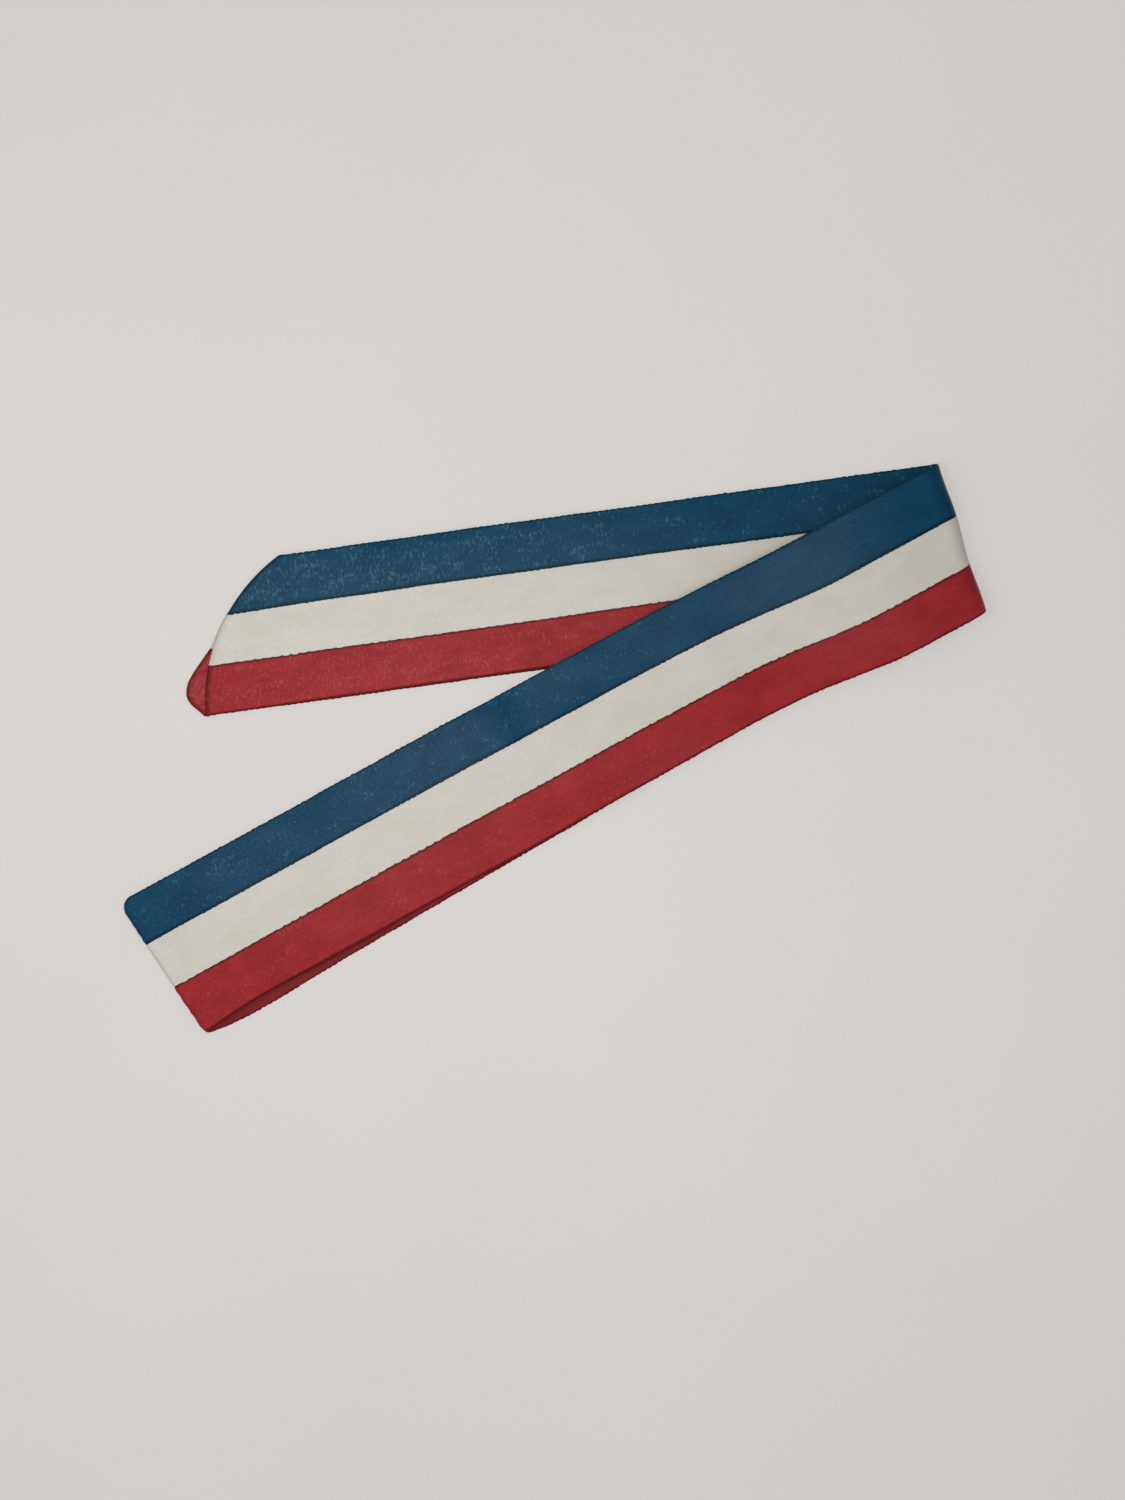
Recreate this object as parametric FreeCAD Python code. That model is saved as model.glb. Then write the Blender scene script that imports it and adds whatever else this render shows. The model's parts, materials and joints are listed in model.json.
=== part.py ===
"""Award neck ribbon: one woven tape sewn into a loop, laid double and folded once.

Lengths are in millimetres and angles in degrees. The loop lies flat, so every stretch is two
layers deep: a rear leg that ends at the mitred seam, and a front leg that ends at a hairpin
bend. The front leg is folded back over the rear one along a crease. +X runs along the longest
side of the laid ribbon, +Z is up, and the origin is the centre of its outline on the table.
"""

import FreeCAD
import Part

import math
import os

Vector = FreeCAD.Vector

# The tape: three bands of warp yarn woven side by side.
BLUE_BAND = 12.7
WHITE_BAND = 12.7
RED_BAND = 12.7
TAPE_THICKNESS = 0.4

# The seam's sewing thread and the play around it between the two layers.
THREAD_THICKNESS = 0.2
THREAD_SLACK = 0.05
STITCH_PITCH = 2.5
STITCH_INSET = 1.2
NEEDLE_HOLE_PLAY = 0.02

# The rear leg, measured from the crease along its own centre line.
REAR_HEADING = 187.7
REAR_BLUE_EDGE = 168.9
REAR_RED_EDGE = 191.6
SEAM_BOW = 5.7
SEAM_ALLOWANCE = 7.0
SEAM_SIDE_INSET = 1.5
SEAM_LOBE = 5.2

# The front leg, which comes back over the rear one.
FRONT_HEADING = 208.4
FRONT_LENGTH = 226.1
END_SLANT = 5.0

# The crease, and how the front leg comes down from it.
INNER_FOLD_RADIUS = 2.4
LEVEL_MARGIN = 2.5
FIRST_DROP_RUN = 56.0
CROSSING_CLEARANCE = 0.35
CROSSING_MARGIN = 2.0
SECOND_DROP_RUN = 24.0

# Sizes that follow from those above.
TAPE_WIDTH = BLUE_BAND + WHITE_BAND + RED_BAND
HALF_WIDTH = TAPE_WIDTH / 2
LAYER_GAP = 2 * (TAPE_THICKNESS + THREAD_THICKNESS + THREAD_SLACK)
LAYER_PITCH = TAPE_THICKNESS + LAYER_GAP
LEG_THICKNESS = TAPE_THICKNESS + LAYER_PITCH
HALF_FOLD_ANGLE = (FRONT_HEADING - REAR_HEADING) / 2
FOLD_HEADING = REAR_HEADING + HALF_FOLD_ANGLE - 180
FOLD_AXIS_HEIGHT = LEG_THICKNESS + INNER_FOLD_RADIUS
OUTER_FOLD_RADIUS = INNER_FOLD_RADIUS + LAYER_PITCH
FRONT_FOLD_HEIGHT = LEG_THICKNESS + 2 * INNER_FOLD_RADIUS
END_RADIUS = LAYER_GAP / 2
FRONT_LAYER_LENGTH = FRONT_LENGTH - END_RADIUS - TAPE_THICKNESS
PRISM_HEIGHT = 2 * (FRONT_FOLD_HEIGHT + LEG_THICKNESS)

# Each band runs from one place across the tape to another; the red edge is positive.
BANDS = {
    "blue": (-HALF_WIDTH, -HALF_WIDTH + BLUE_BAND),
    "white": (-HALF_WIDTH + BLUE_BAND, HALF_WIDTH - RED_BAND),
    "red": (HALF_WIDTH - RED_BAND, HALF_WIDTH),
}


def tangent(degrees):
    return math.tan(math.radians(degrees))


def placed(shape, heading, x=0.0, y=0.0):
    """The shape turned about Z to a heading, with its own origin moved to (x, y)."""
    turn = FreeCAD.Rotation(Vector(0, 0, 1), heading)
    return shape.transformed(FreeCAD.Placement(Vector(x, y, 0), turn).toMatrix())


# --- Plan outlines, in a leg's own frame: x along the leg, y towards the red edge. ---


def seam_circle():
    """Centre and radius of the bowed end edge of the rear leg."""
    run = REAR_RED_EDGE - REAR_BLUE_EDGE
    chord = math.hypot(run, TAPE_WIDTH)
    radius = (chord**2 / 4 + SEAM_BOW**2) / (2 * SEAM_BOW)
    back = radius - SEAM_BOW
    middle = (REAR_BLUE_EDGE + REAR_RED_EDGE) / 2
    return middle - back * TAPE_WIDTH / chord, back * run / chord, radius


def seam_reach(across):
    """Where the rear leg ends, at this place across the tape."""
    centre_x, centre_y, radius = seam_circle()
    return centre_x + math.sqrt(radius**2 - (across - centre_y) ** 2)


def seam_edge(low, high, shift=0.0, bulge=0.0):
    """The arc of the rear leg's end between two places across the tape."""
    middle = (low + high) / 2
    return Part.Arc(
        Vector(seam_reach(low) + shift, low, 0),
        Vector(seam_reach(middle) + shift + bulge, middle, 0),
        Vector(seam_reach(high) + shift, high, 0),
    ).toShape()


def strip_face(start_edge, end_edge):
    """The plan area between two edges that both run from the lower to the higher side."""
    low_side = Part.makeLine(start_edge.Vertexes[0].Point, end_edge.Vertexes[0].Point)
    high_side = Part.makeLine(start_edge.Vertexes[-1].Point, end_edge.Vertexes[-1].Point)
    return Part.Face(Part.Wire(Part.__sortEdges__([start_edge, low_side, end_edge, high_side])))


def slanted_edge(low, high, reach, lean):
    """A straight edge across the tape; lean is how far it runs on per unit across."""
    return Part.makeLine(
        Vector(reach + lean * low, low, 0), Vector(reach + lean * high, high, 0)
    )


# --- The rear leg ---


def rear_layer(band, bottom, bulge=0.0):
    low, high = BANDS[band]
    crease = slanted_edge(low, high, 0, -tangent(HALF_FOLD_ANGLE))
    plan = strip_face(crease, seam_edge(low, high, bulge=bulge))
    layer = plan.extrude(Vector(0, 0, TAPE_THICKNESS))
    layer.translate(Vector(0, 0, bottom))
    return placed(layer, REAR_HEADING)


# --- The front leg: a side profile, extruded across the tape and trimmed in plan ---


def arc_down(x, z, run, drop):
    """An arc that leaves (x, z) level and has run on and dropped by these amounts."""
    radius = (run**2 + drop**2) / (2 * drop)
    half_turn = math.asin(run / radius) / 2
    middle = Vector(x + radius * math.sin(half_turn), 0, z - radius * (1 - math.cos(half_turn)))
    return Part.Arc(Vector(x, 0, z), middle, Vector(x + run, 0, z - drop)).toShape()


def s_bend(x, z, run, drop):
    """Two equal tangent arcs, level at both ends."""
    upper = arc_down(x, z, run / 2, drop / 2)
    lower = upper.copy()
    lower.rotate(Vector(x + run / 2, 0, z - drop / 2), Vector(0, 1, 0), 180)
    return [upper, lower]


def front_path():
    """The underside of the lower front layer, from the crease to the end bend."""
    start = -2 * HALF_WIDTH * tangent(HALF_FOLD_ANGLE)
    stop = FRONT_LAYER_LENGTH + 2 * HALF_WIDTH * tangent(END_SLANT)
    on_rear = LEG_THICKNESS + CROSSING_CLEARANCE
    first = HALF_WIDTH * tangent(HALF_FOLD_ANGLE) + LEVEL_MARGIN
    landed = first + FIRST_DROP_RUN
    leave = HALF_WIDTH / tangent(HALF_FOLD_ANGLE) + CROSSING_MARGIN
    floor = leave + SECOND_DROP_RUN
    return [
        Part.makeLine(Vector(start, 0, FRONT_FOLD_HEIGHT), Vector(first, 0, FRONT_FOLD_HEIGHT)),
        *s_bend(first, FRONT_FOLD_HEIGHT, FIRST_DROP_RUN, FRONT_FOLD_HEIGHT - on_rear),
        Part.makeLine(Vector(landed, 0, on_rear), Vector(leave, 0, on_rear)),
        *s_bend(leave, on_rear, SECOND_DROP_RUN, on_rear),
        Part.makeLine(Vector(floor, 0, 0), Vector(stop, 0, 0)),
    ]


def front_profile(raise_by):
    """The side view of one front layer, as a face in the XZ plane."""
    underside = Part.Wire(front_path())
    underside.translate(Vector(0, 0, raise_by))
    return underside.extrude(Vector(0, 0, TAPE_THICKNESS))


def front_layer(band, raise_by):
    low, high = BANDS[band]
    side = front_profile(raise_by)
    side.translate(Vector(0, low, 0))
    slabs = [face.extrude(Vector(0, high - low, 0)) for face in side.Faces]
    slab = slabs[0].multiFuse(slabs[1:]).removeSplitter()
    crease = slanted_edge(low, high, 0, tangent(HALF_FOLD_ANGLE))
    end = slanted_edge(low, high, FRONT_LAYER_LENGTH, -tangent(END_SLANT))
    plan = strip_face(crease, end)
    plan.translate(Vector(0, 0, -TAPE_THICKNESS))
    return placed(slab.common(plan.extrude(Vector(0, 0, PRISM_HEIGHT))), FRONT_HEADING)


# --- The bends: half rings that join the layers ---


def half_ring(inner_radius, height, low, high):
    """Half a ring of tape that bulges towards +X about an axis along Y."""
    whole_turn = 360
    ring = Part.makeCylinder(
        inner_radius + TAPE_THICKNESS, high - low, Vector(0, low, height), Vector(0, 1, 0), whole_turn
    ).cut(
        Part.makeCylinder(
            inner_radius, high - low, Vector(0, low, height), Vector(0, 1, 0), whole_turn
        )
    )
    reach = inner_radius + 2 * TAPE_THICKNESS
    front_half = Part.makeBox(reach, high - low, 2 * reach, Vector(0, low, height - reach))
    return ring.common(front_half)


def fold_bend(band, inner_radius):
    low, high = BANDS[band]
    stretch = 1 / math.cos(math.radians(HALF_FOLD_ANGLE))
    ring = half_ring(inner_radius, FOLD_AXIS_HEIGHT, -high * stretch, -low * stretch)
    return placed(ring, FOLD_HEADING)


def end_bend(band):
    low, high = BANDS[band]
    stretch = 1 / math.cos(math.radians(END_SLANT))
    ring = half_ring(END_RADIUS, TAPE_THICKNESS + END_RADIUS, low * stretch, high * stretch)
    heading = math.radians(FRONT_HEADING)
    x = FRONT_LAYER_LENGTH * math.cos(heading)
    y = FRONT_LAYER_LENGTH * math.sin(heading)
    return placed(ring, FRONT_HEADING + END_SLANT, x, y)


# --- The seam: two turned-in allowances held by one row of lockstitch ---


def stitch_points():
    """Where the needle went through, along the seam."""
    centre_x, centre_y, radius = seam_circle()
    side = HALF_WIDTH - SEAM_SIDE_INSET
    first = math.asin((-side - centre_y) / radius)
    last = math.asin((side - centre_y) / radius)
    count = math.floor((last - first) * radius / STITCH_PITCH)
    turns = [first + (last - first) * i / count for i in range(count + 1)]
    return [
        Vector(
            centre_x + radius * math.cos(turn) - STITCH_INSET,
            centre_y + radius * math.sin(turn),
            0,
        )
        for turn in turns
    ]


def thread_row(surface, meeting):
    """Stitches that lie on a surface at one height and dive to the height where threads meet."""
    points = stitch_points()
    half = THREAD_THICKNESS / 2
    floor = min(surface, surface + math.copysign(THREAD_THICKNESS, surface - meeting))
    pieces = []
    for here, there in zip(points, points[1:]):
        run = there - here
        bar = Part.makeBox(run.Length, THREAD_THICKNESS, THREAD_THICKNESS, Vector(0, -half, floor))
        angle = math.degrees(math.atan2(run.y, run.x))
        pieces.append(placed(bar, angle, here.x, here.y))
    low, high = sorted((meeting, floor + half))
    for point in points:
        pieces.append(Part.makeCylinder(half, high - low, point + Vector(0, 0, low)))
    return placed(pieces[0].multiFuse(pieces[1:]).removeSplitter(), REAR_HEADING)


def allowance(flap_bottom, edge_bottom, edge_top, edge_side):
    """A turned-in end: a flap between the layers and the folded edge that joins it to one."""
    low = -HALF_WIDTH + SEAM_SIDE_INSET
    high = HALF_WIDTH - SEAM_SIDE_INSET
    flap_plan = strip_face(seam_edge(low, high, shift=-SEAM_ALLOWANCE), seam_edge(low, high))
    flap = flap_plan.extrude(Vector(0, 0, TAPE_THICKNESS))
    flap.translate(Vector(0, 0, flap_bottom))
    turned_plan = strip_face(
        seam_edge(low, edge_side), seam_edge(low, edge_side, shift=TAPE_THICKNESS)
    )
    turned = turned_plan.extrude(Vector(0, 0, edge_top - edge_bottom))
    turned.translate(Vector(0, 0, edge_bottom))
    hole_radius = THREAD_THICKNESS / 2 + NEEDLE_HOLE_PLAY
    holes = [
        Part.makeCylinder(hole_radius, PRISM_HEIGHT, point - Vector(0, 0, TAPE_THICKNESS))
        for point in stitch_points()
    ]
    return placed(flap.fuse(turned).removeSplitter().cut(holes), REAR_HEADING)


def seam_parts():
    flap_bottom = TAPE_THICKNESS + THREAD_SLACK + THREAD_THICKNESS
    middle = flap_bottom + TAPE_THICKNESS
    flap_top = middle + TAPE_THICKNESS
    lobe_side = BANDS["red"][0]
    red_side = HALF_WIDTH - SEAM_SIDE_INSET
    return {
        "seam_allowance_lower": allowance(flap_bottom, 0, middle, lobe_side),
        "seam_allowance_upper": allowance(middle, middle, LEG_THICKNESS, red_side),
        "seam_needle_thread": thread_row(flap_top, middle),
        "seam_bobbin_thread": thread_row(flap_bottom, middle),
    }


def ribbon_parts():
    parts = {}
    for band in BANDS:
        lobe = SEAM_LOBE if band == "red" else 0.0
        parts[f"rear_lower_{band}"] = rear_layer(band, 0, lobe)
        parts[f"rear_upper_{band}"] = rear_layer(band, LAYER_PITCH)
        parts[f"front_lower_{band}"] = front_layer(band, 0)
        parts[f"front_upper_{band}"] = front_layer(band, LAYER_PITCH)
        parts[f"fold_outer_{band}"] = fold_bend(band, OUTER_FOLD_RADIUS)
        parts[f"fold_inner_{band}"] = fold_bend(band, INNER_FOLD_RADIUS)
        parts[f"end_bend_{band}"] = end_bend(band)
    parts.update(seam_parts())
    return parts


def tape_length():
    """The loop's length along the middle of the tape, seam to seam."""
    rear = 2 * seam_reach(0)
    front = 2 * sum(edge.Length for edge in front_path())
    front -= 2 * (HALF_WIDTH * 2) * (tangent(HALF_FOLD_ANGLE) + tangent(END_SLANT))
    radii = (INNER_FOLD_RADIUS, OUTER_FOLD_RADIUS, END_RADIUS)
    return rear + front + sum(math.pi * (radius + TAPE_THICKNESS / 2) for radius in radii)


def main():
    parts = ribbon_parts()
    box = Part.makeCompound(list(parts.values())).optimalBoundingBox(False, False)
    to_origin = Vector(-box.Center.x, -box.Center.y, -box.ZMin)
    os.makedirs("parts", exist_ok=True)
    for name, shape in parts.items():
        shape.translate(to_origin)
        solids = shape.Solids
        solid = solids[0] if len(solids) == 1 else Part.makeCompound(solids)
        solid.exportStep(f"parts/{name}.step")
        print(f"{name:24s} solids {len(solids)} valid {solid.isValid()} volume {solid.Volume:9.3f}")
    crease = math.radians(FOLD_HEADING + 90)
    print("hinge at", [round(value, 4) for value in to_origin + Vector(0, 0, FOLD_AXIS_HEIGHT)])
    print("hinge axis", [round(value, 6) for value in (math.cos(crease), math.sin(crease), 0)])
    print("outline", round(box.XLength, 3), round(box.YLength, 3), round(box.ZLength, 3))
    print("tape", round(TAPE_WIDTH, 3), "wide and", round(tape_length(), 1), "long")


main()
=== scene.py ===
"""Award neck ribbon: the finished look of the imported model, with its camera, light and floor.

The whole ribbon is one woven tape, so it is worked out as one long grid of points: from the cut
end turned in at the seam, along the lower rear layer, round the outer bend of the fold, along the
upper front layer, round the end bend, and back by the inner layers to the other cut end. The grid
is then cut into pieces where the colour bands meet and where the tape's stretches move apart.
Sizes here are in millimetres, as in the CAD source, and become metres when a mesh is made.
"""

import json
import math

import bpy
import numpy as np
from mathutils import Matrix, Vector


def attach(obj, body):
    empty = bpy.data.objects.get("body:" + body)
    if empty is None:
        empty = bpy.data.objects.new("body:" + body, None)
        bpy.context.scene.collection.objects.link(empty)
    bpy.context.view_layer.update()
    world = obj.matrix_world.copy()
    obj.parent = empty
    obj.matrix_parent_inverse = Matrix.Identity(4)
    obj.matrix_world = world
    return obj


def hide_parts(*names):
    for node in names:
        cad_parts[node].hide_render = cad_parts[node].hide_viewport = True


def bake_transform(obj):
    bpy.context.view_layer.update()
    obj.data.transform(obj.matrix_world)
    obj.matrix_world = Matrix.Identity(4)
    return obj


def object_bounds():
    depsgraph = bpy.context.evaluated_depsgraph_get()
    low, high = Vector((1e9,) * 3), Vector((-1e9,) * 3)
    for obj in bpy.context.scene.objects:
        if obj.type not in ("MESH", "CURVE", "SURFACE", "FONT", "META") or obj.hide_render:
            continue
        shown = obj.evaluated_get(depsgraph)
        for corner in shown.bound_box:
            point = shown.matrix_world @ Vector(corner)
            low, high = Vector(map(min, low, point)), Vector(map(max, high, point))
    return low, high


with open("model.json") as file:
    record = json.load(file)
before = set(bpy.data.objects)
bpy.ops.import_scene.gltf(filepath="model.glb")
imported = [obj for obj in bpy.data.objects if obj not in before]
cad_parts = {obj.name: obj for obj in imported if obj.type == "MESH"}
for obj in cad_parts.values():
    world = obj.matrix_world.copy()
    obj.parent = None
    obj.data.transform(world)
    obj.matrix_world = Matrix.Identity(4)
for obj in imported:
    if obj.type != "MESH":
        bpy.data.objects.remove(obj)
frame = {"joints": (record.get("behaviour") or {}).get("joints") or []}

cad_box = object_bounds()
MM = 0.001

# --- Sizes of the CAD source, or that follow from them ---

BAND = 12.7
HALF_WIDTH = 1.5 * BAND
THICKNESS = 0.4
LAYER_PITCH = 1.7
LEG_THICKNESS = LAYER_PITCH + THICKNESS
THREAD_THICKNESS = 0.2
THREAD_SLACK = 0.05
STITCH_PITCH = 2.5
STITCH_INSET = 1.2
REAR_HEADING = 187.7
REAR_BLUE_EDGE = 168.9
REAR_RED_EDGE = 191.6
SEAM_BOW = 5.7
SEAM_ALLOWANCE = 7.0
SEAM_SIDE_INSET = 1.5
SEAM_LOBE = 5.2
FRONT_HEADING = 208.4
FRONT_LAYER_LENGTH = 225.05
END_SLANT = 5.0
INNER_FOLD_RADIUS = 2.4
FIRST_DROP_START = 6.0
FIRST_DROP_RUN = 56.0
ON_REAR_HEIGHT = 2.45
SECOND_DROP_START = 106.3
SECOND_DROP_RUN = 24.0

# Heights of the middle of each layer of tape in the rear leg, and of the front leg's underside
# where it leaves the fold.
REAR_LOWER = THICKNESS / 2
REAR_UPPER = REAR_LOWER + LAYER_PITCH
FLAP_LOWER = THICKNESS + THREAD_SLACK + THREAD_THICKNESS + THICKNESS / 2
FLAP_UPPER = FLAP_LOWER + THICKNESS
FRONT_FOLD_HEIGHT = LEG_THICKNESS + 2 * INNER_FOLD_RADIUS
HALF_FOLD_ANGLE = (FRONT_HEADING - REAR_HEADING) / 2
LEAN = math.tan(math.radians(HALF_FOLD_ANGLE))
SLANT = math.tan(math.radians(END_SLANT))

# --- Where each woven line runs, as (distance from the crease, place across) ---
# The tape is limp, so its edges and its colour changes wander a little from straight.

FRONT_LINES = {
    "blue_edge": [
        (0, -18.7), (30, -18.9), (50, -19.3), (64, -19.8), (90, -20.1), (140, -20.2), (225, -19.6),
    ],
    "blue_white": [
        (0, -4.7), (31, -4.7), (41, -5.4), (51, -6.4),
        (62, -7.2), (90, -7.6), (140, -7.6), (225, -7.0),
    ],
    "white_red": [
        (0, 7.7), (25, 7.7), (36, 6.9), (46, 5.6), (60, 4.8), (92, 4.6), (140, 5.0), (225, 5.7),
    ],
    "red_edge": [
        (0, 20.3), (24, 20.3), (36, 18.8), (46, 17.5), (62, 16.9), (100, 17.5),
        (130, 18.0), (208, 18.3), (215, 18.8), (221, 19.5), (227, 20.2),
    ],
}
REAR_LINES = {
    "blue_edge": [(0, -20.3), (60, -20.2), (130, -20.0), (165, -19.8), (190, -19.9)],
    "blue_white": [(0, -7.3), (80, -7.4), (130, -7.2), (165, -6.9), (185, -6.4)],
    "white_red": [(0, 4.7), (80, 4.9), (110, 5.3), (150, 5.4), (188, 5.7)],
    "red_edge": [(0, 17.2), (60, 17.3), (120, 17.6), (150, 17.8), (190, 18.1)],
}
LINE_PLACES = [-HALF_WIDTH, -HALF_WIDTH + BAND, HALF_WIDTH - BAND, HALF_WIDTH]

# How far the hidden layer of each leg shows past the upper one, towards the red edge.
FRONT_LOWER_SHIFT = [
    (0, 0.0), (100, 0.0), (129, 0.4), (184, 1.9), (204, 2.9),
    (212, 2.75), (218, 1.9), (223, 0.6), (226, 0.0),
]
REAR_LOWER_SHIFT = [(0, 0.0), (20, 0.1), (70, 0.35), (150, 0.3), (192, 0.0)]
# How far the lower rear layer ends past the upper one, as (place across, distance): the red lobe.
LOWER_RIM = [
    (-8, 0.0), (-5.5, 0.45), (0, 0.55), (1.6, 0.9), (5.3, 2.8), (8.8, 4.8),
    (12.3, 5.1), (14.5, 4.0), (16.3, 2.0), (18.4, 0.0), (21, -0.4),
]

# --- Fineness of the grid, and the woven edges ---

# Rows along the legs are this far apart. The bends have these numbers of rows.
ROW_STEP = 0.25
FOLD_ROWS = 40
END_ROWS = 14
# A turned end's rows: flat up to the turn, round it, and back inside to the cut edge.
FLAT_ROWS = 8
TURN_ROWS = 12
BACK_ROWS = 29
# How far in from the seam's edge each turned end starts.
TURNED_RUN = 2.0
# Columns across: finer close to each selvedge, then evenly spaced in each band.
SELVEDGE_STEPS = [0.0, 0.12, 0.36, 0.9]
INNER_COLUMNS = 10
# The scallops of the selvedges and of the lines where two colours meet.
SELVEDGE_PITCH = 1.6
SELVEDGE_REACH = 0.18
BLUE_LINE_REACH = 0.15
RED_LINE_PITCH = 2.3
RED_LINE_REACH = 0.24
PICK_COUNT = 1200
# The laid fold is squarer than a half circle, for which this would be 2.
FOLD_SQUARENESS = 2.6
# How far the fold's crease wanders from straight, and over what length.
CREASE_WANDER = 0.35
CREASE_WAVE = 4.5
CREASE_HALF = 20.0
# The red lobe's turn is this much thicker than the rest, and settles back over this length.
LOBE_PUFF = 0.5
PUFF_SETTLES = 2.2
# How far the painted shade, a darker line along the turned edge of the seam, reaches.
RIM_SHADE_REACH = 1.5
# The bends take this many rows of each leg with them, so the legs' ends never meet.
LEG_SHARE = 2

random = np.random.default_rng(20)


def smooth_step(low, high, value):
    t = np.clip((value - low) / (high - low), 0.0, 1.0)
    return t * t * (3 - 2 * t)


def flowing(stations, softness=3.0):
    """A smooth curve through given (distance, value) stations."""
    places = np.arange(-30.0, 270.0, 0.5)
    values = np.interp(places, *zip(*stations))
    spread = 0.5 * np.arange(-round(8 * softness), round(8 * softness) + 1)
    weights = np.exp(-((spread / softness) ** 2) / 2)
    padded = np.pad(values, len(spread) // 2, mode="edge")
    softened = np.convolve(padded, weights / weights.sum(), mode="valid")
    return lambda distance: np.interp(distance, places, softened)


def picks(pitch, reach):
    """A woven edge's small scallops along the tape, each a little different from the next."""
    sizes = 1 + 0.55 * random.standard_normal(PICK_COUNT)
    drift = np.convolve(random.standard_normal(PICK_COUNT), np.ones(9) / 9, mode="same")

    def offset(run):
        cell = np.mod(run / pitch, PICK_COUNT - 1)
        which = cell.astype(int)
        part = cell - which
        scallop = np.sqrt(np.clip(4 * part * (1 - part), 0, 1))
        drifted = np.interp(cell, np.arange(PICK_COUNT), drift)
        return reach * (sizes[which] * (scallop - 0.6) + 0.8 * drifted)

    return offset


# --- Columns across the tape: fine at the selvedges, shared where two bands meet ---

selvedge = np.array(SELVEDGE_STEPS)
inside = np.linspace(SELVEDGE_STEPS[-1], BAND, INNER_COLUMNS + 1)[1:]
outer_band = np.concatenate([selvedge, inside])
middle_band = np.linspace(0, BAND, INNER_COLUMNS + 2)[1:-1]
ACROSS = np.concatenate(
    [-HALF_WIDTH + outer_band, -BAND / 2 + middle_band, (HALF_WIDTH - outer_band)[::-1]]
)
FIRST_LINE = len(outer_band) - 1
SECOND_LINE = FIRST_LINE + len(middle_band) + 1
BANDS = {
    "blue": slice(0, FIRST_LINE + 1),
    "white": slice(FIRST_LINE, SECOND_LINE + 1),
    "red": slice(SECOND_LINE, len(ACROSS)),
}
from_edge = HALF_WIDTH - np.abs(ACROSS)
EDGE_THINNING = np.interp(from_edge, SELVEDGE_STEPS[:3], [0.3, 0.8, 1.0])
EDGE_SHARE = np.interp(from_edge, SELVEDGE_STEPS, [1.0, 0.9, 0.5, 0.0])

jag_blue = picks(SELVEDGE_PITCH, SELVEDGE_REACH)
jag_first_line = picks(SELVEDGE_PITCH, BLUE_LINE_REACH)
jag_second_line = picks(RED_LINE_PITCH, RED_LINE_REACH)
jag_red = picks(SELVEDGE_PITCH, SELVEDGE_REACH)


def across_tape(lines, distance, run):
    """Where every column of the tape runs. Distance and run both have rows and columns."""
    edges = np.stack([lines[name](distance) for name in lines], axis=0)
    share = (ACROSS - LINE_PLACES[0]) / BAND
    band = np.clip(share.astype(int), 0, 2)
    part = share - band
    columns = np.arange(len(ACROSS))
    low = edges[band, :, columns].T
    high = edges[band + 1, :, columns].T
    place = low + (high - low) * part
    blue_side = (ACROSS < 0) * EDGE_SHARE
    red_side = (ACROSS > 0) * EDGE_SHARE
    place = place - blue_side * jag_blue(run) + red_side * jag_red(run)
    place[..., FIRST_LINE] += jag_first_line(run[..., FIRST_LINE])
    place[..., SECOND_LINE] += jag_second_line(run[..., SECOND_LINE])
    return place


front_lines = {name: flowing(stations) for name, stations in FRONT_LINES.items()}
rear_lines = {name: flowing(stations, 6.0) for name, stations in REAR_LINES.items()}
front_lower_shift = flowing(FRONT_LOWER_SHIFT, 1.5)
rear_lower_shift = flowing(REAR_LOWER_SHIFT, 6.0)
rim = flowing(LOWER_RIM, 0.7)

# --- Frames of the two legs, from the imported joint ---

hinge = np.array(frame["joints"][0]["pos_m"]) / MM
crease = np.array(frame["joints"][0]["axis"])
outward = np.array([crease[1], -crease[0], 0.0])


def leg_axes(heading):
    turn = math.radians(heading)
    along = np.array([math.cos(turn), math.sin(turn), 0.0])
    toward_red = np.array([-math.sin(turn), math.cos(turn), 0.0])
    return along, toward_red


def leg_points(heading, distance, place, height):
    """Points on a leg, from the distance from the crease, the place across and the height."""
    along, toward_red = leg_axes(heading)
    base = np.array([hinge[0], hinge[1], 0.0])
    up = np.array([0.0, 0.0, 1.0])
    return (
        base
        + distance[..., None] * along
        + place[..., None] * toward_red
        + height[..., None] * up
    )


# --- Where the rear leg ends ---


def seam_circle():
    """The centre and radius of the arc that the seam's bowed edge follows."""
    run = REAR_RED_EDGE - REAR_BLUE_EDGE
    width = 2 * HALF_WIDTH
    chord = math.hypot(run, width)
    radius = (chord**2 / 4 + SEAM_BOW**2) / (2 * SEAM_BOW)
    back = radius - SEAM_BOW
    middle = (REAR_BLUE_EDGE + REAR_RED_EDGE) / 2
    return middle - back * width / chord, back * run / chord, radius


def seam_reach(place):
    """How far from the crease the upper rear layer ends."""
    centre_x, centre_y, radius = seam_circle()
    return centre_x + np.sqrt(radius**2 - (place - centre_y) ** 2)


def lobe(place):
    """How much of the puffed lobe there is at this place across: 0 outside it, 1 at its nose."""
    return np.clip((rim(place) - 1.0) / 4.0, 0, 1)


def lower_reach(place):
    """The lower rear layer ends a little past the upper one, and in the lobe well past it."""
    return seam_reach(place) + rim(place)


# --- Heights of the middle of each layer ---
# "free" lets the small waves fade out towards the fold and towards the leg's other end.

# How far the front leg's red side hangs where nothing is under it.
FRONT_SAG = 1.7


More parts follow.
